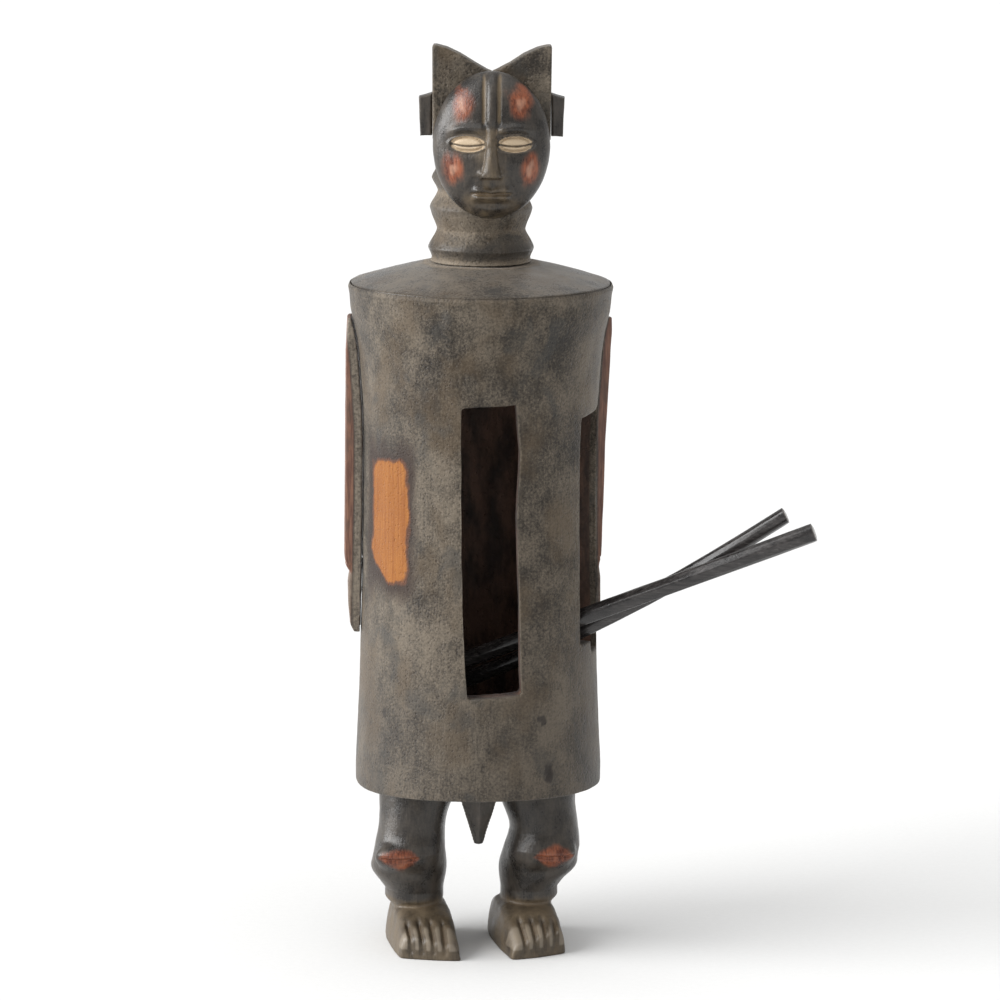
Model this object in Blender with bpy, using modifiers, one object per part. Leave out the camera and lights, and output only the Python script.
"""A carved wooden ancestor figure whose body is a hollow slit drum, with its two loose beaters.

Metres, +Z up, the figure faces -Y. The origin is on the ground, under the middle of the whole
object with the beaters in their slot. "Left" and "right" are the figure's own, so its right arm
is at -X. Every piece of the figure is a separate carved solid, glued or tenoned to the next one
with a gap of GAP between the meshes; the beaters lie loose in the side slot.
"""

import math

import bmesh
import bpy
from mathutils import Matrix, Vector

GAP = 0.0003  # between neighbouring pieces
OVERRUN = 0.005  # how far a cutter runs past the face that it opens

# Where the figure's own axis stands, and how its sides are numbered.
AXIS_X = -0.05766
SIDES = {"right": -1, "left": 1}

# Drum: a hollowed log, open at both ends, closed by a floor, and by a cap let into a rebate.
RIM_Z = 0.4115
REBATE_Z = 0.4040
DRUM_BOTTOM_Z = 0.1058
BORE_RADIUS = 0.0585
DRUM_OUTLINE = (  # height, radius: flared shoulder, waist, slowly widening hem
    (0.4095, 0.0803),
    (0.4030, 0.0800),
    (0.3940, 0.0793),
    (0.3845, 0.0769),
    (0.3700, 0.0746),
    (0.3450, 0.0727),
    (0.3143, 0.0713),
    (0.2275, 0.0722),
    (0.1526, 0.0743),
    (0.1150, 0.0759),
    (0.1085, 0.0756),
)
HEM_RADIUS = 0.0736
TURN_STEPS = 48

# Slots: outlines across and up, seen from outside, with the azimuth that each faces.
FRONT_SLOT = ((-0.0134, 0.1690), (0.0182, 0.1712), (0.0164, 0.2350), (0.0150, 0.2780),
              (0.0170, 0.3180), (0.0140, 0.3462), (-0.0176, 0.3440), (-0.0160, 0.2200))
SIDE_SLOT = ((-0.0172, 0.1958), (-0.0030, 0.1958), (-0.0010, 0.1890), (0.0150, 0.1890),
             (0.0176, 0.2000), (0.0176, 0.2700), (0.0172, 0.3360), (-0.0168, 0.3330),
             (-0.0176, 0.2600))
SIDE_SLOT_AZIMUTH = math.radians(67)
SLOT_CUT_FROM, SLOT_CUT_TO = 0.035, 0.100  # how far from the axis a slot's cutter runs

# Shoulder cap: a low cone in the rebate, with a spigot in the bore and a socket for the neck.
CAP_RADIUS, CAP_EDGE_Z = 0.0785, 0.4118
SEAT_RADIUS, SEAT_Z, CONE_SWELL = 0.0335, 0.4236, 0.0008
SPIGOT_DEPTH = 0.010
NECK_TENON_RADIUS = 0.014

# Floor: a plug flush with the hem, with sockets for the legs and for the loin point.
FLOOR_THICKNESS = 0.037
LEG_TENON_RADIUS, LEG_TENON_X, LEG_TENON_LENGTH = 0.009, 0.038, 0.016
LOIN_TENON_RADIUS, LOIN_X, LOIN_Y = 0.005, -0.0015, -0.022

# Neck: a ringed column with a tenon at each end.
NECK_OUTLINE = (  # height, radius, from the head down
    (0.4835, 0.0262),
    (0.4745, 0.0300),
    (0.4667, 0.0264),
    (0.4565, 0.0313),
    (0.4437, 0.0268),
    (0.4325, 0.0323),
    (0.4268, 0.0300),
    (0.4239, 0.0306),
)
HEAD_TENON_RADIUS, HEAD_TENON_TOP = 0.011, 0.500

# Head: an oval face on a rounded skull. It stands a little to the figure's left of the neck, and
# is turned a little to the right.
HEAD_PLACE, HEAD_TURN = (0.0060, 0.0, 0.0), math.radians(-6)
SKULL_CENTRE, SKULL_RADII = (0, -0.0060, 0.4975), (0.0335, 0.0320, 0.0330)
FACE_CENTRE, FACE_RADII = (0, -0.0340, 0.4970), (0.0350, 0.0190, 0.0440)
RIDGE_CENTRE, RIDGE_RADII = (0, -0.0340, 0.5165), (0.0026, 0.0198, 0.0245)
HEAD_BOTTOM_Z = 0.4838
NOSE_BRIDGE_Z, NOSE_LENGTH, NOSE_HALF_WIDTH, NOSE_HALF_BRIDGE = 0.5010, 0.0230, 0.0075, 0.0028
NOSE_OUT, NOSE_IN = 0.0040, 0.0120
NECK_CLEARANCE = 0.0335

# Crest lobes and ears, as outlines across and up on the figure's left side. Each lobe is a plate
# let in between the face and the skull, and carries the ear on its edge.
CREST_OUTLINE = ((0.0004, 0.4990), (0.0352, 0.4990), (0.0356, 0.5535), (0.0340, 0.5550),
                 (0.0270, 0.5540), (0.0130, 0.5470), (0.0004, 0.5405))
CREST_FRONT, CREST_BACK = -0.0222, -0.0040
EAR_OUTLINE = ((0.0355, 0.5010), (0.0428, 0.5005), (0.0436, 0.5240), (0.0355, 0.5262))
EAR_FRONT, EAR_BACK = -0.0200, -0.0060

# Arms: flat bars on the drum's flanks, flush with its rim: azimuth, outline of radius and height.
ARM_WIDTH = 0.022
ARMS = {
    "right": (math.radians(-96), (
        (0.0690, 0.3900), (0.0801, 0.3900), (0.0810, 0.3700), (0.0814, 0.3000), (0.0818, 0.2450),
        (0.0810, 0.2370), (0.0784, 0.2345), (0.0796, 0.2280), (0.0792, 0.2140), (0.0782, 0.2010),
        (0.0760, 0.1970), (0.0690, 0.1965))),
    "left": (math.radians(102), (
        (0.0690, 0.3880), (0.0806, 0.3880), (0.0808, 0.3780), (0.0788, 0.3400), (0.0774, 0.3100),
        (0.0764, 0.2700), (0.0756, 0.2400), (0.0741, 0.2345), (0.0751, 0.2280), (0.0753, 0.2120),
        (0.0749, 0.2010), (0.0742, 0.1975), (0.0690, 0.1970))),
}

# Legs: height, centre across, half width, centre in depth, half depth.
LEG_SECTIONS = {
    "right": ((0.1055, -0.0350, 0.0270, 0.000, 0.0235), (0.0960, -0.0372, 0.0240, -0.001, 0.0235),
              (0.0880, -0.0392, 0.0217, -0.002, 0.0235), (0.0800, -0.0404, 0.0206, -0.003, 0.0232),
              (0.0729, -0.0412, 0.0206, -0.004, 0.0230), (0.0615, -0.0422, 0.0218, -0.005, 0.0250),
              (0.0502, -0.0417, 0.0230, 0.001, 0.0245), (0.0426, -0.0408, 0.0216, 0.003, 0.0230),
              (0.0350, -0.0390, 0.0182, 0.003, 0.0200), (0.0276, -0.0372, 0.0160, 0.003, 0.0180),
              (0.0100, -0.0370, 0.0155, 0.003, 0.0170)),
    "left": ((0.1055, 0.0345, 0.0265, 0.000, 0.0235), (0.0960, 0.0362, 0.0243, -0.001, 0.0235),
             (0.0880, 0.0374, 0.0226, -0.002, 0.0235), (0.0800, 0.0396, 0.0216, -0.003, 0.0232),
             (0.0729, 0.0408, 0.0214, -0.004, 0.0230), (0.0615, 0.0396, 0.0233, -0.005, 0.0250),
             (0.0502, 0.0370, 0.0233, 0.001, 0.0245), (0.0426, 0.0346, 0.0210, 0.003, 0.0230),
             (0.0350, 0.0326, 0.0180, 0.003, 0.0200), (0.0276, 0.0312, 0.0160, 0.003, 0.0180),
             (0.0100, 0.0310, 0.0155, 0.003, 0.0170)),
}
LEG_SEGMENTS, LEG_RINGS_BETWEEN = 20, 1

# Feet: where each foot's line runs across and how it slants, then y, half width and height.
FOOT_LINES = {"right": (-0.0355, -0.08), "left": (0.0290, -0.11)}
FOOT_SECTIONS = (
    (0.0290, 0.0120, 0.0120),
    (0.0240, 0.0165, 0.0210),
    (0.0080, 0.0195, 0.0290),
    (-0.0100, 0.0196, 0.0285),
    (-0.0230, 0.0191, 0.0230),
    (-0.0340, 0.0182, 0.0175),
    (-0.0430, 0.0172, 0.0125),
    (-0.0465, 0.0155, 0.0080),
)
FOOT_SEGMENTS = 14

# Loin point: a blunt four-sided taper under the drum.
LOIN_WIDTH, LOIN_DEPTH, LOIN_TIP, LOIN_TIP_Z = 0.029, 0.022, 0.0055, 0.0670

# Beaters: the inner end, the outer end and the rise of the middle above the straight line.
BEATERS = {
    "front_beater": ((-0.0535, -0.0060, 0.1632), (0.1954, -0.0645, 0.2667), 0.0000, 0.0052, 0.0058),
    "back_beater": ((-0.0500, 0.0040, 0.1493), (0.1808, -0.0456, 0.2736), -0.0096, 0.0051, 0.0053),
}
BEATER_STATIONS = 9

PARTS = "ancestor_drum_figure"
CUTTERS = "cutters"


def clear_scene():
    for obj in list(bpy.data.objects):
        bpy.data.objects.remove(obj)


def collection(name):
    made = bpy.data.collections.new(name)
    bpy.context.scene.collection.children.link(made)
    return made


def wood(name, colour, roughness):
    material = bpy.data.materials.new(name)
    material.use_nodes = True
    shader = material.node_tree.nodes["Principled BSDF"]
    shader.inputs["Base Color"].default_value = (*colour, 1)
    shader.inputs["Roughness"].default_value = roughness
    shader.inputs["Metallic"].default_value = 0
    return material


def place(name, mesh, material, axis):
    """A part of the figure: a named object on the figure's axis."""
    mesh.materials.append(material)
    mesh.shade_smooth()
    mesh.set_sharp_from_angle(angle=math.radians(35))
    obj = bpy.data.objects.new(name, mesh)
    bpy.data.collections[PARTS].objects.link(obj)
    obj.parent = axis
    return obj


def helper(obj):
    """Makes obj a cutter or a shape that is joined into a part, which is no part itself."""
    for holder in list(obj.users_collection):
        holder.objects.unlink(obj)
    bpy.data.collections[CUTTERS].objects.link(obj)
    obj.hide_render = True
    obj.display_type = "WIRE"
    return obj


def boolean(obj, other, operation):
    modifier = obj.modifiers.new(f"{operation} {other.name}", "BOOLEAN")
    modifier.operation = operation
    modifier.object = helper(other)


def smooth_line(stations, between):
    """The stations with points added between them on a Catmull-Rom curve."""
    line = [Vector(s) for s in stations]
    line = [2 * line[0] - line[1], *line, 2 * line[-1] - line[-2]]
    made = []
    for before, start, end, after in zip(line, line[1:], line[2:], line[3:]):
        for i in range(between + 1):
            t = i / (between + 1)
            made.append(0.5 * (2 * start + (end - before) * t
                               + (2 * before - 5 * start + 4 * end - after) * t * t
                               + (3 * start - before - 3 * end + after) * t ** 3))
    return [*made, line[-2]]


def turned(name, profile, closed):
    """A solid turned round Z from (radius, height) points that run down its outer side."""
    mesh = bpy.data.meshes.new(name)
    edges = [(i, i + 1) for i in range(len(profile) - 1)]
    if closed:
        edges.append((len(profile) - 1, 0))
    mesh.from_pydata([(r, 0, z) for r, z in profile], edges, [])
    return mesh


def turn(obj):
    screw = obj.modifiers.new("turn", "SCREW")
    screw.steps = screw.render_steps = TURN_STEPS
    screw.use_merge_vertices = True
    screw.merge_threshold = 0.00001
    screw.use_smooth_shade = True
    return obj


def lofted(name, rings):
    """A closed solid through rings of points, each the same number of points long."""
    mesh = bpy.data.meshes.new(name)
    shape = bmesh.new()
    loops = [[shape.verts.new(p) for p in ring] for ring in rings]
    for low, high in zip(loops, loops[1:]):
        for i in range(len(low)):
            j = (i + 1) % len(low)
            shape.faces.new((low[i], low[j], high[j], high[i]))
    shape.faces.new(loops[0])
    shape.faces.new(loops[-1])
    bmesh.ops.recalc_face_normals(shape, faces=shape.faces)
    shape.to_mesh(mesh)
    shape.free()
    return mesh


def slab(name, outline, low, high, azimuth=0.0):
    """A flat outline (across, up), as thick as low to high measured outwards at that azimuth."""
    curve = bpy.data.curves.new(name, "CURVE")
    curve.dimensions = "2D"
    curve.fill_mode = "BOTH"
    curve.extrude = (high - low) / 2
    spline = curve.splines.new("POLY")
    spline.points.add(len(outline) - 1)
    for point, (across, up) in zip(spline.points, outline):
        point.co = (across, up, 0, 1)
    spline.use_cyclic_u = True
    drawn = bpy.data.objects.new(name, curve)
    bpy.context.scene.collection.objects.link(drawn)
    mesh = bpy.data.meshes.new_from_object(drawn.evaluated_get(bpy.context.evaluated_depsgraph_get()))
    bpy.data.objects.remove(drawn)
    shape = bmesh.new()
    shape.from_mesh(mesh)
    bmesh.ops.remove_doubles(shape, verts=shape.verts, dist=0.00001)
    bmesh.ops.recalc_face_normals(shape, faces=shape.faces)
    # The curve lies in XY: stand it up, move it out from the axis, then turn it to its azimuth.
    stand = Matrix.Rotation(math.pi / 2, 4, "X")
    out = Matrix.Translation((0, -(low + high) / 2, 0))
    bmesh.ops.transform(shape, matrix=Matrix.Rotation(azimuth, 4, "Z") @ out @ stand, verts=shape.verts)
    shape.to_mesh(mesh)
    shape.free()
    return mesh


def cylinder(name, radius, low, high, x=0.0, y=0.0):
    mesh = bpy.data.meshes.new(name)
    shape = bmesh.new()
    bmesh.ops.create_cone(shape, cap_ends=True, segments=28, radius1=radius, radius2=radius,
                          depth=high - low, matrix=Matrix.Translation((x, y, (low + high) / 2)))
    shape.to_mesh(mesh)
    shape.free()
    return mesh


def drum_profile(outward=0.0):
    """The drum's outer side from the rim to the hem, moved outward."""
    line = smooth_line(DRUM_OUTLINE, 1)
    side = [(r + outward, z) for z, r in line]
    return [*side, (HEM_RADIUS + outward, DRUM_BOTTOM_Z)]


def make_drum_shell(look, axis):
    rebate = CAP_RADIUS + GAP
    bore = [(BORE_RADIUS, DRUM_BOTTOM_Z), (BORE_RADIUS, REBATE_Z), (rebate, REBATE_Z), (rebate, RIM_Z)]
    profile = drum_profile() + bore
    shell = turn(place("drum_shell", turned("drum_shell", profile, True), look, axis))
    for name, outline, azimuth in (("front_slot", FRONT_SLOT, 0.0),
                                   ("side_slot", SIDE_SLOT, SIDE_SLOT_AZIMUTH)):
        mesh = slab(name, outline, SLOT_CUT_FROM, SLOT_CUT_TO, azimuth)
        boolean(shell, place(name, mesh, look, axis), "DIFFERENCE")


def make_shoulder_cap(look, axis):
    cone = []
    for t in (0, 0.25, 0.5, 0.75, 1):
        radius = SEAT_RADIUS + (CAP_RADIUS - SEAT_RADIUS) * t
        height = SEAT_Z + (CAP_EDGE_Z - SEAT_Z) * t + CONE_SWELL * 4 * t * (1 - t)
        cone.append((radius, height))
    under = REBATE_Z + GAP
    spigot = BORE_RADIUS - GAP
    socket = NECK_TENON_RADIUS + GAP
    end = REBATE_Z - SPIGOT_DEPTH
    profile = [(socket, SEAT_Z), *cone, (CAP_RADIUS, under), (spigot, under), (spigot, end), (socket, end)]
    turn(place("shoulder_cap", turned("shoulder_cap", profile, True), look, axis))


def make_drum_floor(look, axis):
    top = DRUM_BOTTOM_Z + FLOOR_THICKNESS
    floor = place("drum_floor", cylinder("drum_floor", BORE_RADIUS - GAP, DRUM_BOTTOM_Z, top), look, axis)
    sockets = [("loin_socket", LOIN_TENON_RADIUS, LOIN_X, LOIN_Y)]
    for side, sign in SIDES.items():
        sockets.append((f"{side}_leg_socket", LEG_TENON_RADIUS, sign * LEG_TENON_X, 0))
    for name, radius, x, y in sockets:
        bottom, end = DRUM_BOTTOM_Z - OVERRUN, DRUM_BOTTOM_Z + LEG_TENON_LENGTH + GAP
        mesh = cylinder(name, radius + GAP, bottom, end, x, y)
        boolean(floor, place(name, mesh, look, axis), "DIFFERENCE")


def make_neck(look, axis):
    seat = NECK_OUTLINE[-1][0]
    side = [(r, z) for z, r in smooth_line(NECK_OUTLINE, 1)]
    profile = [(0, HEAD_TENON_TOP), (HEAD_TENON_RADIUS, HEAD_TENON_TOP), (HEAD_TENON_RADIUS, side[0][1]),
               *side, (NECK_TENON_RADIUS, seat), (NECK_TENON_RADIUS, REBATE_Z - SPIGOT_DEPTH),
               (0, REBATE_Z - SPIGOT_DEPTH)]
    turn(place("neck", turned("neck", profile, False), look, axis))


def ellipsoid(name, centre, radii, segments=28, rings=18):
    mesh = bpy.data.meshes.new(name)
    shape = bmesh.new()
    size = Matrix.Diagonal((*radii, 1))
    bmesh.ops.create_uvsphere(shape, u_segments=segments, v_segments=rings, radius=1,
                              matrix=Matrix.Translation(centre) @ size)
    shape.to_mesh(mesh)
    shape.free()
    return mesh


def make_head(look, axis, head_axis):
    """The skull, joined with the oval face, the nose and the ridge above it."""
    head = place("head", ellipsoid("head", SKULL_CENTRE, SKULL_RADII), look, head_axis)
    front = -(FACE_CENTRE[1] - FACE_RADII[1])
    base = NOSE_BRIDGE_Z - NOSE_LENGTH
    nose = ((-NOSE_HALF_WIDTH, base), (NOSE_HALF_WIDTH, base),
            (NOSE_HALF_BRIDGE, NOSE_BRIDGE_Z), (-NOSE_HALF_BRIDGE, NOSE_BRIDGE_Z))
    joined = (
        ellipsoid("face", FACE_CENTRE, FACE_RADII),
        slab("nose", nose, front - NOSE_IN, front + NOSE_OUT),
        ellipsoid("ridge", RIDGE_CENTRE, RIDGE_RADII, 12, 16),
    )
    for mesh in joined:
        boolean(head, place(mesh.name, mesh, look, head_axis), "UNION")
    below = FACE_CENTRE[2] - FACE_RADII[2] - OVERRUN
    removed = (
        cylinder("neck_clearance", NECK_CLEARANCE, below, HEAD_BOTTOM_Z),
        cylinder("head_socket", HEAD_TENON_RADIUS + GAP, below, HEAD_TENON_TOP + GAP),
    )
    for mesh in removed:
        boolean(head, place(mesh.name, mesh, look, axis), "DIFFERENCE")


def make_crests_and_ears(crest_look, ear_look, head_axis):
    for side, sign in SIDES.items():
        name = f"{side}_crest"
        outline = [(sign * x, z) for x, z in CREST_OUTLINE]
        crest = place(name, slab(name, outline, -CREST_BACK, -CREST_FRONT), crest_look, head_axis)
        for part, centre, radii in (("skull", SKULL_CENTRE, SKULL_RADII), ("face", FACE_CENTRE, FACE_RADII),
                                    ("ridge", RIDGE_CENTRE, RIDGE_RADII)):
            seat = ellipsoid(f"{name}_{part}_seat", centre, [r + GAP for r in radii])
            boolean(crest, place(seat.name, seat, crest_look, head_axis), "DIFFERENCE")
        name = f"{side}_ear"
        outline = [(sign * x, z) for x, z in EAR_OUTLINE]
        place(name, slab(name, outline, -EAR_BACK, -EAR_FRONT), ear_look, head_axis)


def make_arms(look, axis):
    """Each arm is a bar that stands out radially, its back cut to the drum's own curve."""
    for side, (azimuth, outline) in ARMS.items():
        name = f"{side}_arm"
        mesh = slab(name, outline, -ARM_WIDTH / 2, ARM_WIDTH / 2, azimuth - math.pi / 2)
        arm = place(name, mesh, look, axis)
        profile = [(0, DRUM_OUTLINE[0][0]), *drum_profile(GAP), (0, DRUM_BOTTOM_Z)]
        envelope = turned(f"{name}_seat", profile, False)
        boolean(arm, turn(place(f"{name}_seat", envelope, look, axis)), "DIFFERENCE")


def foot_ring(y, middle, half_width, height):
    """A flat-bottomed arch across the foot."""
    ring = []
    for i in range(FOOT_SEGMENTS):
        angle = math.pi * i / (FOOT_SEGMENTS - 1)
        across = math.copysign(abs(math.cos(angle)) ** 0.75, math.cos(angle))
        ring.append((middle + half_width * across, y, height * max(0.0, math.sin(angle)) ** 0.75))
    return ring


def make_legs(look, axis):
    for side, sign in SIDES.items():
        rings = []
        for z, x, half_width, y, half_depth in smooth_line(LEG_SECTIONS[side], LEG_RINGS_BETWEEN):
            turns = [2 * math.pi * i / LEG_SEGMENTS for i in range(LEG_SEGMENTS)]
            rings.append([(x + half_width * math.cos(a), y + half_depth * math.sin(a), z) for a in turns])
        leg = place(f"{side}_leg", lofted(f"{side}_leg", rings), look, axis)
        line, slant = FOOT_LINES[side]
        foot = [foot_ring(y, line + slant * y, w, h) for y, w, h in FOOT_SECTIONS]
        boolean(leg, place(f"{side}_foot", lofted(f"{side}_foot", foot), look, axis), "UNION")
        tenon = cylinder(f"{side}_leg_tenon", LEG_TENON_RADIUS, DRUM_BOTTOM_Z - OVERRUN,
                         DRUM_BOTTOM_Z + LEG_TENON_LENGTH, sign * LEG_TENON_X)
        boolean(leg, place(f"{side}_leg_tenon", tenon, look, axis), "UNION")


def make_loin_point(look, axis):
    """The taper is a four-sided cone, edge to the front, with its round tenon on top."""
    top = DRUM_BOTTOM_Z - GAP
    mesh = bpy.data.meshes.new("loin_point")
    shape = bmesh.new()
    squash = Matrix.Diagonal((1, LOIN_DEPTH / LOIN_WIDTH, 1, 1))
    middle = Matrix.Translation((LOIN_X, LOIN_Y, (top + LOIN_TIP_Z) / 2))
    bmesh.ops.create_cone(shape, cap_ends=True, segments=4, radius1=LOIN_TIP / 2, radius2=LOIN_WIDTH / 2,
                          depth=top - LOIN_TIP_Z, matrix=middle @ squash)
    shape.to_mesh(mesh)
    shape.free()
    point = place("loin_point", mesh, look, axis)
    end = DRUM_BOTTOM_Z + LEG_TENON_LENGTH
    tenon = cylinder("loin_tenon", LOIN_TENON_RADIUS, top - OVERRUN, end, LOIN_X, LOIN_Y)
    boolean(point, place("loin_tenon", tenon, look, axis), "UNION")


def make_beaters(look, axis):
    """Each beater is a whittled stick, thicker outside, a little bowed; its origin is its inner end."""
    for name, (inner, outer, bow, inner_radius, outer_radius) in BEATERS.items():
        curve = bpy.data.curves.new(name, "CURVE")
        curve.dimensions = "3D"
        curve.bevel_depth = 1.0
        curve.bevel_resolution = 3
        curve.use_fill_caps = True
        spline = curve.splines.new("POLY")
        spline.points.add(BEATER_STATIONS - 1)
        start, run = Vector(inner), Vector(outer) - Vector(inner)
        for i, point in enumerate(spline.points):
            t = i / (BEATER_STATIONS - 1)
            point.co = (*(run * t + Vector((0, 0, 4 * bow * t * (1 - t)))), 1)
            point.radius = inner_radius + (outer_radius - inner_radius) * t
        curve.materials.append(look)
        stick = bpy.data.objects.new(name, curve)
        bpy.data.collections[PARTS].objects.link(stick)
        stick.parent = axis
        stick.location = start


def empty(name, location, turned_by=0.0, parent=None):
    made = bpy.data.objects.new(name, None)
    bpy.data.collections[PARTS].objects.link(made)
    made.location = location
    made.rotation_euler.z = turned_by
    made.parent = parent
    return made


def main():
    clear_scene()
    collection(PARTS)
    collection(CUTTERS)
    axis = empty("figure_axis", (AXIS_X, 0, 0))
    head_axis = empty("head_axis", HEAD_PLACE, HEAD_TURN, axis)
    patina = wood("dusty_patina", (0.125, 0.107, 0.090), 0.72)
    dark = wood("waxed_dark", (0.058, 0.052, 0.048), 0.42)
    rubbed = wood("rubbed_red_brown", (0.200, 0.092, 0.055), 0.50)
    make_drum_shell(patina, axis)
    make_shoulder_cap(patina, axis)
    make_drum_floor(patina, axis)
    make_neck(patina, axis)
    make_head(dark, axis, head_axis)
    make_crests_and_ears(patina, dark, head_axis)
    make_arms(rubbed, axis)
    make_legs(dark, axis)
    make_loin_point(dark, axis)
    make_beaters(wood("beater_black", (0.040, 0.036, 0.036), 0.38), axis)


main()
